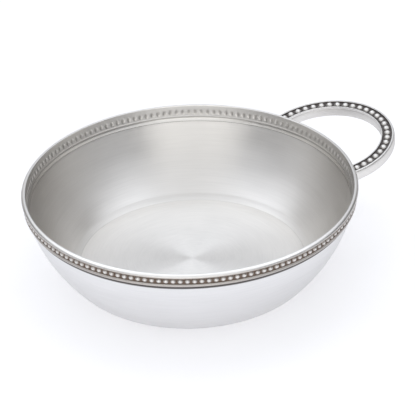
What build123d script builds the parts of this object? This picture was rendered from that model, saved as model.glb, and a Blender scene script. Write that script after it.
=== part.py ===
from build123d import *
import os
from math import acos, atan2, cos, degrees, hypot, pi, radians, sin, sqrt

# Pewter porringer: a spun bowl, a beaded border strip scarfed and soldered to its edge,
# and a cast beaded loop handle soldered to the border.
# Millimetres. The bowl stands on its flat base at z = 0 with its axis on Z.
# The handle points along +X.

# Bowl
lip_diameter = 120.0  # over the rounded lip, the widest part of the bowl
rim_height = 34.0  # base to the crest of the lip
base_diameter = 77.6  # flat disc that it stands on
corner_radius = 8.5  # outside turn from the base into the wall
wall_radius = 59.0  # arc of the wall, seen in section
wall_inset = 1.35  # lip's outside to the wall's outside at the seam
wall_at_rim = 1.25  # wall thickness at the seam
floor_thickness = 2.45
crease_dip = 0.45  # the inside corner curve starts this far below the floor, which leaves a crease

# Border strip, from the crest down: lip, beaded recess, plain wire
lip_thickness = 1.52  # diameter of the rounded lip
lip_drop = 1.5  # crest to the top of the recess
recess_height = 2.25
recess_inset = 1.1  # lip's outside to the floor of the recess
recess_ledge = 0.15  # flat ledges above and below the beads
wire_height = 1.2
wire_stand = 0.62  # how far the wire swells out
bead_margin = 0.16  # recess edge to bead
bead_space = 0.45  # between neighbouring beads
bead_stand = 0.8  # how far a bead stands out from the recess floor

# Scarf joint between the border and the bowl's edge
scarf_drop = 1.25  # the inside seam lies this much lower than the outside one
seam_step = 0.12  # the border stands this much proud of the wall at both seams

# Handle: a loop of one section about its own tilted axis
loop_radius = 23.1  # middle of the bead channel
loop_inset = 0.9  # lip's outside to the loop's centre
handle_tilt = 8.3  # degrees, up and away from the bowl
handle_drop = 1.0  # lip's crest to the handle's top, at the lip's outside
handle_height = 4.0
channel_width = 3.5
channel_depth = 0.6
inner_shoulder = 0.45  # top edge between the channel and the finger hole
outer_shoulder = 0.5  # top edge between the channel and the outside
outer_swell = 0.5  # how far the outside swells past its top edge
handle_bead_width = 2.25
handle_bead_stand = 1.0
handle_bead_pitch = 3.07
handle_end_gap = 0.12  # bead tops on the border to the handle's ends, filled with solder

# Facets: straight runs that stand for each round stretch, and the sides of a bead
outer_wall_runs = 9
inner_wall_runs = 8
corner_runs = 3
crease_runs = 1
lip_runs = 4
wire_runs = 3
swell_runs = 4
bead_sides = 8

root_depth = 0.15  # beads and their band start this far inside the metal that carries them

# Levels and radii that follow from these
lip_radius = lip_diameter / 2
base_radius = base_diameter / 2
lip_round = lip_thickness / 2
recess_radius = lip_radius - recess_inset
recess_top = rim_height - lip_drop
recess_bottom = recess_top - recess_height
border_bottom = recess_bottom - wire_height
seam_outside = lip_radius - wall_inset
seam_inside = seam_outside - wall_at_rim
strip_middle = (recess_radius + lip_radius - lip_thickness) / 2
bead_width = recess_height - 2 * bead_margin
seat_radius = recess_radius + max(bead_stand, wire_stand) + handle_end_gap


def lathe(points):
    """Turn a closed outline of radius and height about the bowl's axis."""
    return revolve(Plane.XZ * make_face(Polyline(*points, close=True)), Axis.Z)


def arc_points(centre, radius, start, end, runs):
    """Points along an arc in section, with angles counted from straight down towards the outside."""
    turns = [start + (end - start) * i / runs for i in range(runs + 1)]
    return [(centre[0] + radius * sin(a), centre[1] - radius * cos(a)) for a in turns]


def swell_points(start, end, swell, runs):
    """Points of a half ellipse that swells outwards between two points of a section."""
    points = []
    for i in range(runs + 1):
        turn = pi * i / runs
        share = (1 - cos(turn)) / 2
        out = start[0] + share * (end[0] - start[0]) + swell * sin(turn)
        points.append((out, start[1] + share * (end[1] - start[1])))
    return points


def wall_points(corner, top, start, turn_runs, wall_runs):
    """One face of the bowl from its base or floor to its edge: a tight turn, then the wall's arc.

    corner is the radius of the turn, start the angle at which it begins, and top the point at the
    edge. The wall's arc runs on smoothly from the turn and passes through top.
    """
    turn = (base_radius, corner_radius)
    short = wall_radius - corner
    reach = hypot(top[0] - turn[0], top[1] - turn[1])
    along = (short**2 - wall_radius**2 + reach**2) / (2 * reach)
    across = sqrt(short**2 - along**2)
    ux = (top[0] - turn[0]) / reach
    uz = (top[1] - turn[1]) / reach
    wall = (turn[0] + along * ux - across * uz, turn[1] + along * uz + across * ux)
    meet = atan2(turn[0] - wall[0], wall[1] - turn[1])
    end = atan2(top[0] - wall[0], wall[1] - top[1])
    lower = arc_points(turn, corner, start, meet, turn_runs)
    upper = arc_points(wall, wall_radius, meet, end, wall_runs)
    return lower + upper[1:]


def make_bowl():
    """Spun shell with a flat floor, a crease round it, and an edge bevelled for the border."""
    outer_top = (seam_outside, border_bottom)
    inner_top = (seam_inside, border_bottom - scarf_drop)
    outside = wall_points(corner_radius, outer_top, 0, corner_runs, outer_wall_runs)
    inner_corner = corner_radius - (floor_thickness - crease_dip)
    crease = acos((corner_radius - floor_thickness) / inner_corner)
    inside = wall_points(inner_corner, inner_top, crease, crease_runs, inner_wall_runs)
    return lathe([(0, 0), *outside, *reversed(inside), (0, floor_thickness)])


def bead_solid(width, stand):
    """A bead in flat facets: a low point that stands along Z, with its root inside the metal."""
    reach = width / 2 * (1 + root_depth / stand)
    turns = [2 * pi * i / bead_sides for i in range(bead_sides)]
    root = [Vector(reach * cos(a), reach * sin(a), -root_depth) for a in turns]
    tip = Vector(0, 0, stand)
    sides = [[root[i - 1], root[i], tip] for i in range(bead_sides)]
    return Solid(Shell([Face(Wire.make_polygon(facet)) for facet in [root, *sides]]))


def make_border():
    """Rolled strip: rounded lip, recess with a row of beads, plain wire, and a bevelled edge.

    The floor of the recess is a band of flats, with a bead on each.
    """
    lip_centre = (lip_radius - lip_round, rim_height - lip_round)
    lip = arc_points(lip_centre, lip_round, -pi / 2, -3 * pi / 2, lip_runs)
    slope = scarf_drop / wall_at_rim
    bevel_outside = (seam_outside + seam_step, border_bottom + slope * seam_step)
    bevel_inside = (seam_inside - seam_step, border_bottom - scarf_drop - slope * seam_step)
    ledge_radius = recess_radius + recess_ledge
    recess = [(ledge_radius, recess_top), (strip_middle, recess_top), (strip_middle, recess_bottom)]
    wire = swell_points((ledge_radius, recess_bottom), bevel_outside, wire_stand, wire_runs)
    ring = lathe([*lip, *recess, *wire, bevel_inside])
    count = int(2 * pi * recess_radius / (bead_width + bead_space))
    flats = RegularPolygon(recess_radius, count, major_radius=False) - Circle(strip_middle - root_depth)
    band = Pos(0, 0, recess_bottom) * extrude(flats, recess_height)
    middle = (recess_radius, 0, recess_top - recess_height / 2)
    outward = Plane(middle, x_dir=(0, 0, 1), z_dir=(1, 0, 0))
    bead = outward * bead_solid(bead_width, bead_stand)
    first_flat = 180 / count
    return ring + band + [place * bead for place in PolarLocations(0, count, start_angle=first_flat)]


def loop_plane():
    """Plane of the handle's top face, with its origin on the loop's axis."""
    tilt = radians(handle_tilt)
    along = Vector(cos(tilt), 0, sin(tilt))
    at_lip = Vector(lip_radius, 0, rim_height - handle_drop)
    return Plane(at_lip - along * loop_inset, x_dir=along, z_dir=(-sin(tilt), 0, cos(tilt)))


def loop_solid(groove):
    """The handle's section turned full circle about the loop's axis, with a channel of this depth."""
    channel_in = loop_radius - channel_width / 2
    channel_out = loop_radius + channel_width / 2
    hole = channel_in - inner_shoulder
    outside = channel_out + outer_shoulder
    channel = []
    if groove > 0:
        channel = [(channel_in, 0), (channel_in, -groove), (channel_out, -groove), (channel_out, 0)]
    swell = swell_points((outside, 0), (outside, -handle_height), outer_swell, swell_runs)
    return loop_plane() * lathe([(hole, 0), *channel, *swell, (hole, -handle_height)])


def loop_end_angle():
    """Angle round the loop, from its far end, at which its middle meets the seat on the border."""
    tilt = radians(handle_tilt)
    centre = lip_radius - loop_inset * cos(tilt)
    reach = loop_radius * cos(tilt)
    a = reach**2 - loop_radius**2
    b = 2 * centre * reach
    c = centre**2 + loop_radius**2 - seat_radius**2
    return acos(-2 * c / (b + sqrt(b**2 - 4 * a * c)))


def make_handle(border, bowl):
    """Cast loop, open to the border, with beads along the channel in its top."""
    half_turn = loop_end_angle()
    count = int(2 * half_turn * loop_radius / handle_bead_pitch)
    bead = bead_solid(handle_bead_width, handle_bead_stand)
    beads = []
    for i in range(count):
        turn = half_turn * (2 * i + 1 - count) / count
        beads.append(loop_plane() * Rot(0, 0, degrees(turn)) * Pos(loop_radius, 0, -channel_depth) * bead)
    seat = Cylinder(seat_radius, 4 * rim_height)
    return loop_solid(channel_depth) + beads - seat - border - bowl


def make_handle_solder(border, bowl):
    """Solder from the handle's two ends to the border, round the beads there.

    Returns the left and the right one, as seen from the bowl.
    """
    ring = Cylinder(seat_radius, 4 * rim_height) - Cylinder(strip_middle, 4 * rim_height)
    pads = ((loop_solid(0) & ring) - border - bowl).solids()
    left = Compound([pad for pad in pads if pad.center().Y > 0])
    right = Compound([pad for pad in pads if pad.center().Y < 0])
    return left, right


bowl = make_bowl()
border = make_border()
solder_left, solder_right = make_handle_solder(border, bowl)
nodes = {
    "bowl": bowl,
    "rim_border": border,
    "handle": make_handle(border, bowl),
    "handle_solder_left": solder_left,
    "handle_solder_right": solder_right,
}

os.makedirs("parts", exist_ok=True)
for name, shape in nodes.items():
    shape.label = name
    export_step(shape, f"parts/{name}.step")
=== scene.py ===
from math import acos, atan2, cos, hypot, pi, radians, sin, sqrt

import bmesh
import bpy
import numpy as np
from mathutils import Matrix, Vector


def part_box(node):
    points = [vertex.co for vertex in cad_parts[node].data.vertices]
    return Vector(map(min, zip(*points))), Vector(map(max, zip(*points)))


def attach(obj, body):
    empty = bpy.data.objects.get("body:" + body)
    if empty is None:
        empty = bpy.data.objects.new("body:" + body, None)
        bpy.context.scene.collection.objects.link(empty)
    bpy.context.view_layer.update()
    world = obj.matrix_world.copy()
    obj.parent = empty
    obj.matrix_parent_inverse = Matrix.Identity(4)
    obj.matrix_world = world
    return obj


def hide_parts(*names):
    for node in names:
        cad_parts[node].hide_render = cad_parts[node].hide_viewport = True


# Pewter porringer with a beaded border and a beaded loop handle.
# Lengths here are millimetres, and become metres where a mesh or the camera is made.
MM = 0.001
FACET_GAP = 0.015  # how far the CAD model's facets may fall short of its true round

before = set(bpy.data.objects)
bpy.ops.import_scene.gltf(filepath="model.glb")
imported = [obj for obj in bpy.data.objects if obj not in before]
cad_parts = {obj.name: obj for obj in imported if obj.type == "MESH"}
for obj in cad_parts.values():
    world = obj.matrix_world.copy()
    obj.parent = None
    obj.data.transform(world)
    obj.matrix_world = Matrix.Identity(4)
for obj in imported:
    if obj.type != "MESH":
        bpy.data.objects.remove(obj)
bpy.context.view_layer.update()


def node_size(node):
    """Radius and top of a round node, in millimetres."""
    low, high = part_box(node)
    return (high.y - low.y) / 2 / MM - FACET_GAP, high.z / MM


# Sizes from the frame
LIP_RADIUS, RIM_HEIGHT = node_size("rim_border")
SEAM_RADIUS, SEAM_HEIGHT = node_size("bowl")

# Bowl
BASE_RADIUS = 38.8
CORNER_RADIUS = 8.5
WALL_RADIUS = 59.0
WALL_AT_RIM = 1.25
FLOOR_THICKNESS = 2.45
CREASE_DIP = 0.45
SCORE_WIDTH = 0.45  # fine line scored round the floor, at the crease
SCORE_DEPTH = 0.07
SEAM_GROOVE = 0.3  # bevel under the border
SEAM_DARK = 0.95  # the dark line outside reaches this far below the border
SEAM_CLEAN = 1.35  # and is gone here

# Border
LIP_WIDTH = 1.52
LIP_CORNER = 0.25  # tight round on the inside of the crest
LIP_FALL = 0.95  # crest to the lip's widest point, over a long round
LIP_UNDERCUT = radians(25)  # how far the long round goes on below the widest point
LIP_DROP = 1.5  # crest to the top of the recess
LEDGE_FALL = 0.1  # top of the recess to where its floor starts, under the lip
RECESS_HEIGHT = 2.25
RECESS_INSET = 1.1  # lip's outside to the floor of the recess
WIRE_RADIUS = 0.6
BEAD_RADIUS = 1.05
BEAD_STAND = 0.8  # how far a bead stands out from the floor of the recess
BEAD_COUNT = 155
SCARF_DROP = 1.25  # the inside seam lies this much lower than the outside one
SEAM_STEP = 0.12  # the border stands this much proud of the wall at both seams
DIMPLE_WIDTH = 0.64  # half the width and height of the hollow back of each bead, inside the border
DIMPLE_RISE = 0.95
DIMPLE_DEPTH = 0.22
GROOVE_DROP = 4.6  # crest to the hollow back of the wire
GROOVE_WIDTH = 0.7
GROOVE_DEPTH = 0.16

# Levels and radii of the border
RECESS_TOP = RIM_HEIGHT - LIP_DROP
RECESS_BOTTOM = RECESS_TOP - RECESS_HEIGHT
RECESS_RADIUS = LIP_RADIUS - RECESS_INSET
BEAD_TOP = RECESS_RADIUS + BEAD_STAND
BEAD_HEIGHT = (RECESS_TOP + RECESS_BOTTOM) / 2
GROOVE_HEIGHT = RIM_HEIGHT - GROOVE_DROP

# Handle
LOOP_RADIUS = 23.1  # middle of the bead channel
LOOP_INSET = 0.9  # lip's outside to the loop's centre
LOOP_TILT = radians(8.3)
HANDLE_DROP = 1.0  # lip's crest to the handle's top, at the lip's outside
HANDLE_HEIGHT = 4.0
HANDLE_END_GAP = 0.12  # bead tops on the border to the handle's ends
CHANNEL_WIDTH = 3.5
CHANNEL_DEPTH = 0.6
CHANNEL_RIM = 0.35  # the patina on the channel's walls is full from this far down
CHANNEL_SHARES = (0.3, 0.7)  # points across the channel's floor
INNER_SHOULDER = 0.45
OUTER_SHOULDER = 0.5
OUTER_SWELL = 0.5 - FACET_GAP
HANDLE_EDGE = 0.14  # rounding of the handle's edges
HANDLE_LINE = 0.95  # fine line round the finger hole, below the top
HANDLE_LINE_WIDTH = 0.4
HANDLE_LINE_DEPTH = 0.08
HANDLE_BEAD_RADIUS = 1.28
HANDLE_BEAD_TOP = 0.4 - FACET_GAP  # above the handle's top face
HANDLE_BEAD_COUNT = 26
SEAT_RADIUS = BEAD_TOP + HANDLE_END_GAP

# Steps of the meshes
BOWL_COLUMNS = 256
BASE_STEPS = 6
TURN_STEPS = 12  # between base or floor and wall; the wall has twice as many
FLOOR_STEPS = 8
LIP_CORNER_STEPS = 4
LIP_STEPS = 14
LEDGE_STEPS = 2
RECESS_STEPS = 4
WIRE_STEPS = 10
SCARF_STEPS = 2
INSIDE_STEPS = 28
COLUMNS_PER_BEAD = 8
HANDLE_COLUMNS = 161
EDGE_STEPS = 3
SWELL_STEPS = 14
BEAD_MESH = (14, 8)  # columns and rings
HANDLE_BEAD_MESH = (18, 9)
BEAD_SINK = 0.1  # a bead goes on below its middle by this angle, in radians
SHARP_ANGLE = radians(32)

# Patina and painted shade, as a share from 0 to 1 at each point: patina in the hollows, painted shade on
# the lip's and wire's undersides, up the beads' sides and over the inside of the border
SCORE_STAIN = 0.12
SEAM_STAIN = 0.9
LIP_UNSHADED = 0.7  # share of the lip's round that is free of painted shade; past it, painted shade darkens the outer, downward-facing part of the round down to the recess's patina
WIRE_STAIN = 0.42  # least on the wire
WIRE_TOP = 0.2  # share of the wire's round over which the recess's patina fades
WIRE_SHADE_FROM = 0.6  # share at which painted shade on the wire's downward-facing underside starts
WIRE_SHADE_SPAN = 0.25  # share over which that painted shade gets darker
INSIDE_PAINTED_SHADE = 0.28  # painted shade, the least on the inside of the border, above the hollow back of the wire
DIMPLE_PATINA_AND_SHADE = 0.55  # patina and painted shade, deepest in the hollow back of a bead
GROOVE_STAIN = 0.5  # deepest in that of the wire
HANDLE_LINE_STAIN = 0.2
BEAD_FOOT = 0.05  # share of a bead's height that is covered
BEAD_SHADE_GONE = 1.05  # share at which the painted shade up a bead's sides would be gone, so the top of a border's bead keeps a trace
# the same share for the handle's beads, whose painted shade leaves a larger bright top
HANDLE_BEAD_SHADE_GONE = 0.32
PATINA_AND_SHADE_ROUGH = 0.2  # added to the roughness under full patina, and under full painted shade
PATINA_AND_SHADE_DULL = 0.8  # taken from the metallic share, under patina and painted shade alike

# Finish
PEWTER = (0.878, 0.865, 0.845)
TARNISH = (0.06, 0.05, 0.045)
BRUSH_WIDTH = 0.6  # brush marks round the bowl
BRUSH_TURN = 0.3  # how far round a mark runs, in radians
BRUSH_DETAIL = 3
BRUSH_RANGE = (0.1, 0.9)  # of the noise, from the duller tone to the brighter
BRUSH_STRENGTH = 0.08
BRUSH_DEPTH = 0.01
TONE_SPREAD = 0.04  # how far brush marks are duller or brighter than the metal's colour
CLOUD_WIDTH = 7.0  # broad duller and brighter streaks
CLOUD_SCALE = 0.6  # a brush mark's run round the bowl, as a share of a streak's
CLOUD_DETAIL = 2
CLOUD_RANGE = (0.3, 0.7)  # of the noise, from the smoother metal to the rougher
CLOUD_ROUGH = 0.025
CLOUD_TONE = 0.03
NOISE_MIDDLE = 0.5
QUARTER_TURN = 0.25  # turns the gloss across the brush marks
TURN_UP = 0.7  # upward part of a face's normal: more than this in the turn from wall to floor
FLOOR_UP = 0.98  # and more than this on the floor
BORDER_INWARD = -0.3  # outward part of a face's normal: less than this on the inside of the border

# Studio, as brightness where 1 is white
WHITE = (1, 1, 1, 1)
FLOOR_SIZE = 4000.0  # half the width of the floor
FLOOR_COLOUR = (0.6, 0.605, 0.62, 1)
FLOOR_ROUGHNESS = 0.9
FLOOR_GLOW = 0.51
FLOOR_TINT = (1.0, 0.995, 1.015, 1)
ROOM_BRIGHT = (0.75, 0.75, 0.755, 1)
ROOM_DIM = (0.37, 0.35, 0.32, 1)
ROOM_DARK = (0.025, 0.018, 0.012, 1)
WALL_REAR = (0.64, 0.67, 0.73, 1)
WALL_FRONT = (2.2, 2.17, 2.1, 1)
SOFTBOX_BRIGHT = (1.62, 1.66, 1.74, 1)
CEILING = (0.84, 0.86, 0.89, 1)
LAMP = (1.95, 2.01, 2.1, 1)
SOFTBOX_EDGE = radians(40)  # height of its edge, seen from the bowl
SOFTBOX_FADE = radians(8)
# Soft round spots in the sky, each over the ones before it.
# Degrees round from behind the bowl to the left, height, inner and outer edge; then share and colour.
SPOTS = (
    (0, 90, 12, 36, 1.0, CEILING),  # plain ceiling straight above
    (0, 64, 8, 22, 1.0, LAMP),  # lamp above the back of the bowl
    (0, 39, 12, 22, 1.0, WALL_REAR),  # plain wall behind the bowl
    (159, 2, 3, 27, 1.0, WALL_FRONT),  # bright wall behind the camera
    (191, 2, 3, 27, 1.0, WALL_FRONT),
    (86, 40, 8, 24, 0.5, SOFTBOX_BRIGHT),  # lower corner of the softbox, on the left
    (310, 30, 6, 26, 0.6, ROOM_DARK),  # dark corner behind the bowl, on the right
    (180, 42, 8, 42, 0.55, ROOM_DIM),  # dim ceiling above the camera
)
GAP_TURN = radians(97)  # from straight behind the bowl to the middle of a dark gap on each side
GAP_HALF = radians(63)
GAP_TOP = radians(35)
GAP_FADE = radians(8)

# Camera, fitted to the photograph about the centre of the lip's crest
CAMERA_DISTANCE = 700.0
CAMERA_AZIMUTH = radians(-31.16)
CAMERA_ELEVATION = radians(30.641)
CAMERA_YAW = radians(-0.4937)
CAMERA_PITCH = radians(-0.7196)
CAMERA_ROLL = radians(2.2610)
CLIP_START = 10.0
FOCAL_PIXELS = 1967.0
PHOTO_PIXELS = 415
SENSOR_WIDTH = 36.0


def new_object(name, verts, faces, patina_and_shade):
    """A smooth mesh from millimetre points, its faces turned outwards, with patina and painted shade at
    each point.
    """
    mesh = bpy.data.meshes.new(name)
    mesh.from_pydata((np.asarray(verts) * MM).tolist(), [], faces)
    shell = bmesh.new()
    shell.from_mesh(mesh)
    bmesh.ops.recalc_face_normals(shell, faces=shell.faces)
    shell.to_mesh(mesh)
    shell.free()
    layer = mesh.attributes.new("patina_and_shade", "FLOAT", "POINT")
    layer.data.foreach_set("value", np.asarray(patina_and_shade, dtype=np.float32))
    mesh.polygons.foreach_set("use_smooth", [True] * len(mesh.polygons))
    mesh.set_sharp_from_angle(angle=SHARP_ANGLE)
    mesh.validate()
    obj = bpy.data.objects.new(name, mesh)
    bpy.context.scene.collection.objects.link(obj)
    return obj


def grid_faces(rows, columns, close_rows, close_columns):
    """Quads of a grid of points stored row by row."""
    faces = []
    for i in range(rows if close_rows else rows - 1):
        here = i * columns
        there = (i + 1) % rows * columns
        for j in range(columns if close_columns else columns - 1):
            k = (j + 1) % columns
            faces.append((here + j, here + k, there + k, there + j))
    return faces


def arc(centre, radius, start, end, steps):
    """Points of an arc in section, with angles counted from straight down towards the outside."""
    turns = np.linspace(start, end, steps + 1)
    return [(centre[0] + radius * sin(a), centre[1] - radius * cos(a)) for a in turns]


def between(start, end, share):
    """The point at this share of the way from start to end."""
    return (start[0] + share * (end[0] - start[0]), start[1] + share * (end[1] - start[1]))


def line(start, end, steps):
    """Points along a straight run, without the first one."""
    return [between(start, end, share) for share in np.linspace(0, 1, steps + 1)[1:]]


def wall(corner, top, start):
    """One face of the bowl from its base or floor up to the point top: two tangent arcs."""
    turn = (BASE_RADIUS, CORNER_RADIUS)
    short = WALL_RADIUS - corner
    reach = hypot(top[0] - turn[0], top[1] - turn[1])
    along = (short**2 - WALL_RADIUS**2 + reach**2) / (2 * reach)
    across = sqrt(short**2 - along**2)
    ux = (top[0] - turn[0]) / reach
    uz = (top[1] - turn[1]) / reach
    centre = (turn[0] + along * ux - across * uz, turn[1] + along * uz + across * ux)
    meet = atan2(turn[0] - centre[0], centre[1] - turn[1])
    end = atan2(top[0] - centre[0], centre[1] - top[1])
    lower = arc(turn, corner, start, meet, TURN_STEPS)
    upper = arc(centre, WALL_RADIUS, meet, end, 2 * TURN_STEPS)
    return lower + upper[1:]


def bowl_section():
    """Outline of the bowl from under its middle round to its floor, as radius, height and patina."""
    outer_top = (SEAM_RADIUS, SEAM_HEIGHT - SEAM_GROOVE)
    inner_top = (SEAM_RADIUS - WALL_AT_RIM, SEAM_HEIGHT - SCARF_DROP)
    inner_corner = CORNER_RADIUS - (FLOOR_THICKNESS - CREASE_DIP)
    crease = acos((CORNER_RADIUS - FLOOR_THICKNESS) / inner_corner)
    base = line((0, 0), (BASE_RADIUS, 0), BASE_STEPS)[:-1]
    *outside, edge = wall(CORNER_RADIUS, outer_top, 0)
    last = outside[-1]
    darkening = {}
    for drop, dark in ((SEAM_CLEAN, 0.0), (SEAM_DARK, SEAM_STAIN)):
        point = between(edge, last, (drop - SEAM_GROOVE) / (edge[1] - last[1]))
        outside.append(point)
        darkening[point] = dark
    bevel = [edge, (SEAM_RADIUS - SEAM_GROOVE, SEAM_HEIGHT - SEAM_GROOVE / 2)]
    darkening.update((point, 1.0) for point in bevel)
    inside = wall(inner_corner, inner_top, crease)[::-1]
    rim = inside[-1]
    score = (rim[0] - SCORE_WIDTH / 2, FLOOR_THICKNESS - SCORE_DEPTH)
    floor_edge = (rim[0] - SCORE_WIDTH, FLOOR_THICKNESS)
    floor = [score, floor_edge] + line(floor_edge, (0, FLOOR_THICKNESS), FLOOR_STEPS)[:-1]
    darkening[score] = SCORE_STAIN
    points = base + outside + bevel + inside + floor
    return [(*point, darkening.get(point, 0.0)) for point in points]


def make_bowl():
    """Turned shell; its outside edge is bevelled under the border."""
    section = bowl_section()
    turns = np.linspace(0, 2 * pi, BOWL_COLUMNS, endpoint=False)
    verts = [(r * cos(a), r * sin(a), z) for r, z, dark in section for a in turns]
    patina_and_shade = np.repeat([dark for r, z, dark in section], BOWL_COLUMNS)
    faces = grid_faces(len(section), BOWL_COLUMNS, False, True)
    under = len(verts)
    last = under - BOWL_COLUMNS
    verts += [(0, 0, 0), (0, 0, FLOOR_THICKNESS)]
    for j in range(BOWL_COLUMNS):
        k = (j + 1) % BOWL_COLUMNS
        faces.append((under, k, j))
        faces.append((under + 1, last + j, last + k))
    obj = new_object("bowl_turned", verts, faces, [*patina_and_shade, 0, 0])
    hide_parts("bowl")
    return obj


def dome(radius, columns, rings):
    """A bead standing along Z: points and faces of a sphere cut off a little below its middle."""
    verts = []
    for i in range(rings):
        lift = -BEAD_SINK + (pi / 2 + BEAD_SINK) * i / rings
        for j in range(columns):
            a = 2 * pi * j / columns
            verts.append((radius * cos(lift) * cos(a), radius * cos(lift) * sin(a), radius * sin(lift)))
    faces = grid_faces(rings, columns, False, True)
    tip = len(verts)
    verts.append((0, 0, radius))
    last = (rings - 1) * columns
    for j in range(columns):
        faces.append((last + j, last + (j + 1) % columns, tip))
    faces.append(tuple(range(columns))[::-1])
    return np.array(verts), faces


def add_beads(verts, faces, patina_and_shade, bead, frames, floor, bright):
    """Copies a bead to each frame.

    Patina covers the bead's foot, at height floor; above it painted shade darkens the bead's sides and is
    gone at the share bright of its height, so only the top stays bright.
    """
    points, bead_faces = bead
    top = points[:, 2].max()
    share = (points[:, 2] - floor) / (top - floor)
    # patina at the foot, then painted shade up the bead's sides, leaving the top bright
    foot_patina_and_shade = 1 - np.clip((share - BEAD_FOOT) / (bright - BEAD_FOOT), 0, 1)
    for place in frames:
        start = len(verts)
        moved = points @ place[:3, :3].T + place[:3, 3]
        verts.extend(map(tuple, moved))
        patina_and_shade.extend(foot_patina_and_shade)
        faces.extend(tuple(start + i for i in face) for face in bead_faces)


def border_section():
    """Closed outline of the border, as radius, height and darkening (patina, with painted shade on the
    undersides of the lip and the wire), and the index where its inside starts.
    """
    crest = LIP_RADIUS - LIP_WIDTH + LIP_CORNER
    lip = arc((crest, RIM_HEIGHT - LIP_CORNER), LIP_CORNER, -pi / 2, -pi, LIP_CORNER_STEPS)
    for turn in np.linspace(0, pi / 2 + LIP_UNDERCUT, LIP_STEPS + 1)[1:]:
        lip.append((crest + (LIP_RADIUS - crest) * sin(turn), RIM_HEIGHT - LIP_FALL * (1 - cos(turn))))
    recess = line(lip[-1], (RECESS_RADIUS, RECESS_TOP - LEDGE_FALL), LEDGE_STEPS)
    recess += line(recess[-1], (RECESS_RADIUS, RECESS_BOTTOM), RECESS_STEPS)
    wire_middle = (RECESS_RADIUS, RECESS_BOTTOM - WIRE_RADIUS)
    wire = arc(wire_middle, WIRE_RADIUS, -pi, -2 * pi, WIRE_STEPS)[1:]
    bevel_outside = (SEAM_RADIUS + SEAM_STEP, SEAM_HEIGHT)
    bevel_inside = (SEAM_RADIUS - WALL_AT_RIM - SEAM_STEP, SEAM_HEIGHT - SCARF_DROP)
    bevel = [bevel_outside] + line(bevel_outside, bevel_inside, SCARF_STEPS)
    inside = line(bevel_inside, lip[0], INSIDE_STEPS)[:-1]
    # painted shade on the lip's outer, downward-facing round, full where it meets the recess's patina
    lip_painted_shade = np.clip((np.linspace(0, 1, len(lip)) - LIP_UNSHADED) / (1 - LIP_UNSHADED), 0, 1)
    wire_share = np.linspace(0, 1, len(wire))
    # the recess's patina fades over the wire's top; painted shade darkens its underside
    wire_fade_and_shade = np.maximum(1 - wire_share / WIRE_TOP, (wire_share - WIRE_SHADE_FROM) / WIRE_SHADE_SPAN)
    wire_patina_and_shade = np.clip(wire_fade_and_shade, WIRE_STAIN, 1)
    darkening = [*lip_painted_shade, *np.ones(len(recess)), *wire_patina_and_shade, *np.ones(len(bevel)), *np.zeros(len(inside))]
    points = lip + recess + wire + bevel + inside
    return [(r, z, dark) for (r, z), dark in zip(points, darkening)], len(points) - len(inside)


def border_hollows(across, z):
    """Depth and darkening inside the border at height z: patina and painted shade in the hollow backs of
    the beads, patina in that of the wire, and painted shade above it.
    """
    away = (across / DIMPLE_WIDTH) ** 2 + ((z - BEAD_HEIGHT) / DIMPLE_RISE) ** 2
    dimple = np.sqrt(np.clip(1 - away, 0, 1)) * DIMPLE_DEPTH
    groove = GROOVE_DEPTH * max(0.0, 1 - ((z - GROOVE_HEIGHT) / (GROOVE_WIDTH / 2)) ** 2)
    hollow_darkening = np.maximum(DIMPLE_PATINA_AND_SHADE * dimple / DIMPLE_DEPTH, GROOVE_STAIN * groove / GROOVE_DEPTH)
    # painted shade, even over the inside of the border above the wire's hollow back
    darkening = np.maximum(hollow_darkening, INSIDE_PAINTED_SHADE if z > GROOVE_HEIGHT + GROOVE_WIDTH else 0.0)
    return dimple + groove, darkening


def border_bead_frames():
    """Places of the beads round the border, each standing outwards."""
    frames = []
    for k in range(BEAD_COUNT):
        turn = Matrix.Rotation(2 * pi * k / BEAD_COUNT, 4, "Z")
        out = Matrix.Translation((BEAD_TOP - BEAD_RADIUS, 0, BEAD_HEIGHT))
        frames.append(np.array(turn @ out @ Matrix.Rotation(pi / 2, 4, "Y")))
    return frames


def make_border():
    """Rolled strip: lip, recess with beads, wire outside; hollow backs of the beads and wire inside."""
    section, inside_from = border_section()
    columns = BEAD_COUNT * COLUMNS_PER_BEAD
    steps = np.arange(columns)
    turns = 2 * pi * steps / columns
    half = COLUMNS_PER_BEAD / 2
    offset = ((steps + half) % COLUMNS_PER_BEAD - half) / COLUMNS_PER_BEAD
    verts = []
    patina_and_shade = []
    for i, (r, z, dark) in enumerate(section):
        radii = np.full(columns, r)
        darkening = np.full(columns, dark)
        if i >= inside_from:
            depth, darkening = border_hollows(offset * 2 * pi * r / BEAD_COUNT, z)
            radii = radii + depth
        verts.extend(zip(radii * np.cos(turns), radii * np.sin(turns), np.full(columns, z)))
        patina_and_shade.extend(darkening)
    faces = grid_faces(len(section), columns, True, True)
    bead = dome(BEAD_RADIUS, *BEAD_MESH)
    foot = RECESS_RADIUS - BEAD_TOP + BEAD_RADIUS
    add_beads(verts, faces, patina_and_shade, bead, border_bead_frames(), foot, BEAD_SHADE_GONE)
    obj = new_object("border_beaded", verts, faces, patina_and_shade)
    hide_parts("rim_border")
    return obj


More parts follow.
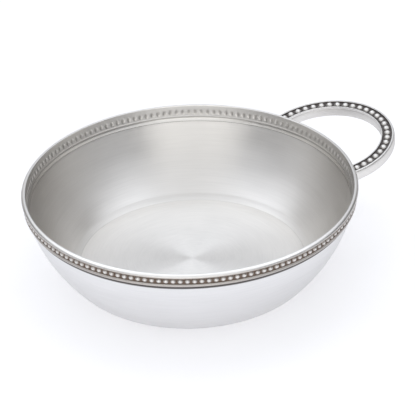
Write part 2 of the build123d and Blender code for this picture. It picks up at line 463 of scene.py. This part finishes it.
def handle_section():
    """Closed outline of the handle about the loop's axis, as radius, height and patina."""
    channel_in = LOOP_RADIUS - CHANNEL_WIDTH / 2
    channel_out = LOOP_RADIUS + CHANNEL_WIDTH / 2
    hole = channel_in - INNER_SHOULDER
    outside = channel_out + OUTER_SHOULDER
    edge = HANDLE_EDGE
    points = []

    def corner(centre, start, end):
        points.extend((*p, 0.0) for p in arc(centre, edge, start, end, EDGE_STEPS))

    corner((hole + edge, -edge), -pi / 2, -pi)
    corner((channel_in - edge, -edge), -pi, -3 * pi / 2)
    points.extend((channel_in, h, 1.0) for h in (-CHANNEL_RIM, -CHANNEL_DEPTH))
    points.extend((channel_in + t * CHANNEL_WIDTH, -CHANNEL_DEPTH, 1.0) for t in CHANNEL_SHARES)
    points.extend((channel_out, h, 1.0) for h in (-CHANNEL_DEPTH, -CHANNEL_RIM))
    corner((channel_out + edge, -edge), -pi / 2, -pi)
    for i in range(SWELL_STEPS + 1):
        turn = pi * i / SWELL_STEPS
        share = (1 - cos(turn)) / 2
        points.append((outside + OUTER_SWELL * sin(turn), -share * HANDLE_HEIGHT, 0.0))
    corner((hole + edge, -HANDLE_HEIGHT + edge), 0, -pi / 2)
    points.append((hole, -HANDLE_LINE - HANDLE_LINE_WIDTH / 2, 0.0))
    points.append((hole + HANDLE_LINE_DEPTH, -HANDLE_LINE, HANDLE_LINE_STAIN))
    points.append((hole, -HANDLE_LINE + HANDLE_LINE_WIDTH / 2, 0.0))
    return points


def loop_end(radius, height):
    """Angle from the loop's far end at which a point of its section meets the seat on the border."""
    middle = LIP_RADIUS - LOOP_INSET * cos(LOOP_TILT) - height * sin(LOOP_TILT)
    reach = radius * cos(LOOP_TILT)
    a = reach**2 - radius**2
    b = 2 * middle * reach
    c = middle**2 + radius**2 - SEAT_RADIUS**2
    return acos(-2 * c / (b + sqrt(b**2 - 4 * a * c)))


def loop_frame():
    """Matrix of the handle's top plane, with its origin on the loop's axis."""
    along = Vector((cos(LOOP_TILT), 0, sin(LOOP_TILT)))
    centre = Vector((LIP_RADIUS, 0, RIM_HEIGHT - HANDLE_DROP)) - along * LOOP_INSET
    return Matrix.Translation(centre) @ Matrix.Rotation(-LOOP_TILT, 4, "Y")


def handle_bead_frames(place, lift):
    """Places of the beads along the channel, each standing up from the loop's plane."""
    half_turn = loop_end(LOOP_RADIUS, 0)
    frames = []
    for k in range(HANDLE_BEAD_COUNT):
        turn = half_turn * (2 * k + 1 - HANDLE_BEAD_COUNT) / HANDLE_BEAD_COUNT
        spot = Matrix.Rotation(turn, 4, "Z") @ Matrix.Translation((LOOP_RADIUS, 0, lift))
        frames.append(place @ np.array(spot))
    return frames


def make_handle():
    """Cast loop with a beaded channel, its two ends trimmed to the border."""
    section = handle_section()
    columns = HANDLE_COLUMNS
    shares = np.linspace(-1, 1, columns)
    place = np.array(loop_frame())
    local = []
    patina_and_shade = []
    for r, h, dark in section:
        turns = shares * loop_end(r, h)
        local.extend(zip(r * np.cos(turns), r * np.sin(turns), np.full(columns, h)))
        patina_and_shade.extend([dark] * columns)
    verts = list(map(tuple, np.array(local) @ place[:3, :3].T + place[:3, 3]))
    rows = len(section)
    faces = grid_faces(rows, columns, True, False)
    faces.append(tuple(i * columns for i in range(rows))[::-1])
    faces.append(tuple(i * columns + columns - 1 for i in range(rows)))
    lift = HANDLE_BEAD_TOP - HANDLE_BEAD_RADIUS
    frames = handle_bead_frames(place, lift)
    bead = dome(HANDLE_BEAD_RADIUS, *HANDLE_BEAD_MESH)
    add_beads(verts, faces, patina_and_shade, bead, frames, -CHANNEL_DEPTH - lift, HANDLE_BEAD_SHADE_GONE)
    obj = new_object("handle_loop", verts, faces, patina_and_shade)
    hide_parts("handle")
    return obj


class Nodes:
    """Short calls to add and join the nodes of one material or of the world."""

    def __init__(self, tree):
        self.tree = tree
        tree.nodes.clear()

    def add(self, kind, **settings):
        node = self.tree.nodes.new(kind)
        for key, value in settings.items():
            setattr(node, key, value)
        return node

    def put(self, value, socket):
        if isinstance(value, bpy.types.NodeSocket):
            self.tree.links.new(value, socket)
        else:
            socket.default_value = value

    def math(self, operation, *values):
        node = self.add("ShaderNodeMath", operation=operation)
        for value, socket in zip(values, node.inputs):
            self.put(value, socket)
        return node.outputs[0]

    def from_axis(self, x, y):
        """Distance from the Z axis."""
        return self.math("SQRT", self.math("ADD", self.math("MULTIPLY", x, x), self.math("MULTIPLY", y, y)))

    def remap(self, value, low, high, to_low, to_high):
        node = self.add("ShaderNodeMapRange")
        for item, socket in zip((value, low, high, to_low, to_high), node.inputs):
            self.put(item, socket)
        return node.outputs[0]

    def mix_colour(self, share, first, second):
        """Mixes two colours; a Mix node has its colour sockets behind those of other kinds."""
        node = self.add("ShaderNodeMix", data_type="RGBA")
        self.put(share, node.inputs[0])
        self.put(first, node.inputs[6])
        self.put(second, node.inputs[7])
        return node.outputs[2]

    def vector(self, x, y, z):
        node = self.add("ShaderNodeCombineXYZ")
        for value, socket in zip((x, y, z), node.inputs):
            self.put(value, socket)
        return node.outputs[0]

    def noise(self, vector, detail):
        node = self.add("ShaderNodeTexNoise")
        self.put(vector, node.inputs["Vector"])
        self.put(1, node.inputs["Scale"])
        self.put(detail, node.inputs["Detail"])
        return node.outputs["Fac"]


def pewter_noise(n):
    """Noise of the fine brush marks round the axis, and of the broad streaks."""
    parts = n.add("ShaderNodeSeparateXYZ")
    n.put(n.add("ShaderNodeTexCoord").outputs["Object"], parts.inputs[0])
    x, y, z = parts.outputs
    radius = n.from_axis(x, y)
    across = n.math("MULTIPLY", n.math("ADD", radius, z), 1 / (BRUSH_WIDTH * MM))
    turn_x = n.math("MULTIPLY", n.math("DIVIDE", x, radius), 1 / BRUSH_TURN)
    turn_y = n.math("MULTIPLY", n.math("DIVIDE", y, radius), 1 / BRUSH_TURN)
    brushing = n.noise(n.vector(turn_x, turn_y, across), BRUSH_DETAIL)
    cloud_x = n.math("MULTIPLY", turn_x, CLOUD_SCALE)
    cloud_y = n.math("MULTIPLY", turn_y, CLOUD_SCALE)
    cloud_z = n.math("MULTIPLY", across, BRUSH_WIDTH / CLOUD_WIDTH)
    cloud = n.noise(n.vector(cloud_x, cloud_y, cloud_z), CLOUD_DETAIL)
    return brushing, cloud


def pewter(name, colour, darkening, roughness, anisotropy, glancing):
    """Satin pewter: brushed round the axis, a little cloudy, and dark with patina in the hollows and with
    painted shade where the mesh asks for it.
    """
    material = bpy.data.materials.new(name)
    material.use_nodes = True
    n = Nodes(material.node_tree)
    brushing, cloud = pewter_noise(n)
    # patina and painted shade, as stored on the mesh
    patina_and_shade = n.add("ShaderNodeAttribute", attribute_name="patina_and_shade").outputs["Fac"]
    dull = [(1 - TONE_SPREAD) * c for c in colour] + [1]
    bright = [(1 + TONE_SPREAD) * c for c in colour] + [1]
    streaks = n.math("MULTIPLY", n.math("SUBTRACT", cloud, NOISE_MIDDLE), CLOUD_TONE / TONE_SPREAD)
    shade = n.math("ADD", brushing, streaks)
    tone = n.mix_colour(n.remap(shade, *BRUSH_RANGE, 0, 1), dull, bright)
    satin = n.remap(cloud, *CLOUD_RANGE, roughness - CLOUD_ROUGH, roughness + CLOUD_ROUGH)
    bump = n.add("ShaderNodeBump")
    n.put(BRUSH_STRENGTH, bump.inputs["Strength"])
    n.put(BRUSH_DEPTH * MM, bump.inputs["Distance"])
    n.put(brushing, bump.inputs["Height"])
    tangent = n.add("ShaderNodeTangent", direction_type="RADIAL", axis="Z")
    shader = n.add("ShaderNodeBsdfPrincipled")
    n.put(n.mix_colour(patina_and_shade, tone, [*darkening, 1]), shader.inputs["Base Color"])
    n.put(n.math("SUBTRACT", 1, n.math("MULTIPLY", patina_and_shade, PATINA_AND_SHADE_DULL)), shader.inputs["Metallic"])
    n.put(n.math("ADD", satin, n.math("MULTIPLY", patina_and_shade, PATINA_AND_SHADE_ROUGH)), shader.inputs["Roughness"])
    n.put((*glancing, 1), shader.inputs["Specular Tint"])
    n.put(anisotropy, shader.inputs["Anisotropic"])
    n.put(QUARTER_TURN, shader.inputs["Anisotropic Rotation"])
    n.put(tangent.outputs[0], shader.inputs["Tangent"])
    n.put(bump.outputs[0], shader.inputs["Normal"])
    out = n.add("ShaderNodeOutputMaterial")
    n.put(shader.outputs[0], out.inputs["Surface"])
    return material


def polished_pewter():
    """Outside of the bowl: bright, and a little cooler."""
    return pewter(
        "pewter_polished",
        colour=(0.855, 0.854, 0.862),
        darkening=TARNISH,
        roughness=0.31,
        anisotropy=0.5,
        glancing=(0.85, 0.85, 0.85),
    )


def turned_pewter(name, roughness, anisotropy):
    """Inside of the bowl: satin from the lathe."""
    return pewter(
        name,
        colour=PEWTER,
        darkening=TARNISH,
        roughness=roughness,
        anisotropy=anisotropy,
        glancing=(0.72, 0.7, 0.67),
    )


def border_pewter(name, darkening, roughness):
    """Border, outside or inside, with brown patina and painted shade."""
    return pewter(
        name,
        colour=PEWTER,
        darkening=darkening,
        roughness=roughness,
        anisotropy=0.2,
        glancing=(0.6, 0.6, 0.6),
    )


def handle_pewter():
    """Cast handle: polished, with a dark channel."""
    return pewter(
        "pewter_handle",
        colour=(0.81, 0.795, 0.775),
        darkening=(0.1, 0.088, 0.085),
        roughness=0.41,
        anisotropy=0.0,
        glancing=(0.7, 0.7, 0.7),
    )


def dressed_solder():
    """Solder at the handle's ends, a little darker than the pewter."""
    return pewter(
        "solder",
        colour=(0.7, 0.69, 0.68),
        darkening=(0.2, 0.18, 0.17),
        roughness=0.38,
        anisotropy=0.0,
        glancing=(0.7, 0.7, 0.7),
    )


def dress(obj, *finishes):
    """Gives a piece its finishes; its faces take the first one."""
    obj.data.materials.clear()
    for material in finishes:
        obj.data.materials.append(material)


def dress_bowl(bowl):
    """Finishes of the outside, of the wall inside, of the turn below it and of the floor."""
    wall_finish = turned_pewter("pewter_turned", roughness=0.4, anisotropy=0.8)
    turn_finish = turned_pewter("pewter_corner", roughness=0.53, anisotropy=0.8)
    floor_finish = turned_pewter("pewter_floor", roughness=0.5, anisotropy=0.62)
    dress(bowl, polished_pewter(), wall_finish, turn_finish, floor_finish)
    for face in bowl.data.polygons:
        face.material_index = sum(face.normal.z > least for least in (0, TURN_UP, FLOOR_UP))


def dress_border(border):
    """Finishes of the outside, and of the faces that look to the axis."""
    outside = border_pewter("pewter_chased", darkening=(0.27, 0.205, 0.165), roughness=0.39)
    inside = border_pewter("pewter_backs", darkening=(0.17, 0.15, 0.135), roughness=0.3)
    dress(border, outside, inside)
    for face in border.data.polygons:
        outward = Vector((face.center.x, face.center.y, 0)).normalized()
        face.material_index = int(face.normal.dot(outward) < BORDER_INWARD)


def seen(n):
    """1 for rays from the camera and those that metal or glass sends on, otherwise 0."""
    path = n.add("ShaderNodeLightPath").outputs
    shiny = n.math("MAXIMUM", path["Is Glossy Ray"], path["Is Transmission Ray"])
    return n.math("MAXIMUM", path["Is Camera Ray"], shiny)


def make_floor():
    """White floor under the bowl, which keeps a soft shadow."""
    size = FLOOR_SIZE
    corners = [(-size, -size, 0), (size, -size, 0), (size, size, 0), (-size, size, 0)]
    floor = new_object("floor", corners, [(0, 1, 2, 3)], [0.0] * 4)
    material = bpy.data.materials.new("floor_white")
    material.use_nodes = True
    n = Nodes(material.node_tree)
    shader = n.add("ShaderNodeBsdfPrincipled")
    n.put(FLOOR_COLOUR, shader.inputs["Base Color"])
    n.put(FLOOR_ROUGHNESS, shader.inputs["Roughness"])
    n.put(FLOOR_TINT, shader.inputs["Emission Color"])
    n.put(n.math("MULTIPLY", seen(n), FLOOR_GLOW), shader.inputs["Emission Strength"])
    out = n.add("ShaderNodeOutputMaterial")
    n.put(shader.outputs[0], out.inputs["Surface"])
    dress(floor, material)


def room_colour(n, x, y, z):
    """Pale walls with a dark gap on each side, under a softbox."""
    along_y = n.math("MULTIPLY", y, cos(CAMERA_AZIMUTH))
    along_x = n.math("MULTIPLY", x, sin(CAMERA_AZIMUTH))
    along = n.math("SUBTRACT", along_y, along_x)
    turn = n.math("ARCCOSINE", n.math("DIVIDE", along, n.from_axis(x, y)))
    off = n.math("ABSOLUTE", n.math("SUBTRACT", turn, GAP_TURN))
    beside = n.remap(off, GAP_HALF - GAP_FADE, GAP_HALF + GAP_FADE, 1, 0)
    below = n.remap(z, sin(GAP_TOP - GAP_FADE), sin(GAP_TOP + GAP_FADE), 1, 0)
    walls = n.mix_colour(n.math("MULTIPLY", beside, below), ROOM_BRIGHT, ROOM_DARK)
    overhead = n.remap(z, sin(SOFTBOX_EDGE - SOFTBOX_FADE), sin(SOFTBOX_EDGE + SOFTBOX_FADE), 0, 1)
    return n.mix_colour(overhead, walls, SOFTBOX_BRIGHT)


def make_world():
    """The room with its soft spots, which lights the bowl; the camera itself sees white."""
    world = bpy.data.worlds.new("studio")
    bpy.context.scene.world = world
    world.use_nodes = True
    n = Nodes(world.node_tree)
    way = n.add("ShaderNodeSeparateXYZ")
    n.put(n.add("ShaderNodeTexCoord").outputs["Generated"], way.inputs[0])
    x, y, z = way.outputs
    room = room_colour(n, x, y, z)
    for round_to, height, inner, outer, share, colour in SPOTS:
        heading = CAMERA_AZIMUTH + radians(round_to)
        flat = cos(radians(height))
        dot_x = n.math("MULTIPLY", x, -sin(heading) * flat)
        dot_y = n.math("MULTIPLY", y, cos(heading) * flat)
        dot_z = n.math("MULTIPLY", z, sin(radians(height)))
        dot = n.math("ADD", dot_z, n.math("ADD", dot_x, dot_y))
        spot = n.remap(dot, cos(radians(outer)), cos(radians(inner)), 0, share)
        room = n.mix_colour(spot, room, colour)
    camera_ray = n.add("ShaderNodeLightPath").outputs["Is Camera Ray"]
    background = n.add("ShaderNodeBackground")
    n.put(n.mix_colour(camera_ray, room, WHITE), background.inputs["Color"])
    n.put(1.0, background.inputs["Strength"])
    out = n.add("ShaderNodeOutputWorld")
    n.put(background.outputs[0], out.inputs["Surface"])


def make_camera():
    """Camera at the photograph's view.

    It is placed by azimuth and elevation, then turned a little off the lip's centre.
    """
    around = Matrix.Rotation(CAMERA_AZIMUTH, 3, "Z")
    away = Vector((0, -cos(CAMERA_ELEVATION), sin(CAMERA_ELEVATION)))
    forward = -away
    right = Vector((1, 0, 0))
    up = right.cross(forward)
    yaw = Matrix.Rotation(CAMERA_YAW, 3, up)
    forward = yaw @ forward
    right = yaw @ right
    forward = Matrix.Rotation(CAMERA_PITCH, 3, right) @ forward
    up = right.cross(forward)
    roll = Matrix.Rotation(CAMERA_ROLL, 3, forward)
    right = roll @ right
    up = roll @ up
    axes = Matrix((around @ right, around @ up, around @ -forward)).transposed()
    place = around @ (away * CAMERA_DISTANCE) + Vector((0, 0, RIM_HEIGHT))
    lens = bpy.data.cameras.new("camera")
    lens.sensor_width = SENSOR_WIDTH
    lens.lens = FOCAL_PIXELS / PHOTO_PIXELS * SENSOR_WIDTH
    lens.clip_start = CLIP_START * MM
    camera = bpy.data.objects.new("camera", lens)
    camera.matrix_world = Matrix.Translation(place * MM) @ axes.to_4x4()
    bpy.context.scene.collection.objects.link(camera)
    bpy.context.scene.camera = camera


bowl = make_bowl()
border = make_border()
handle = make_handle()
for piece in (bowl, border, handle):
    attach(piece, "root")

dress_bowl(bowl)
dress_border(border)
dress(handle, handle_pewter())
solder = dressed_solder()
for side in ("left", "right"):
    dress(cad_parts["handle_solder_" + side], solder)

make_floor()
make_world()
make_camera()
bpy.context.scene.view_settings.view_transform = "Standard"
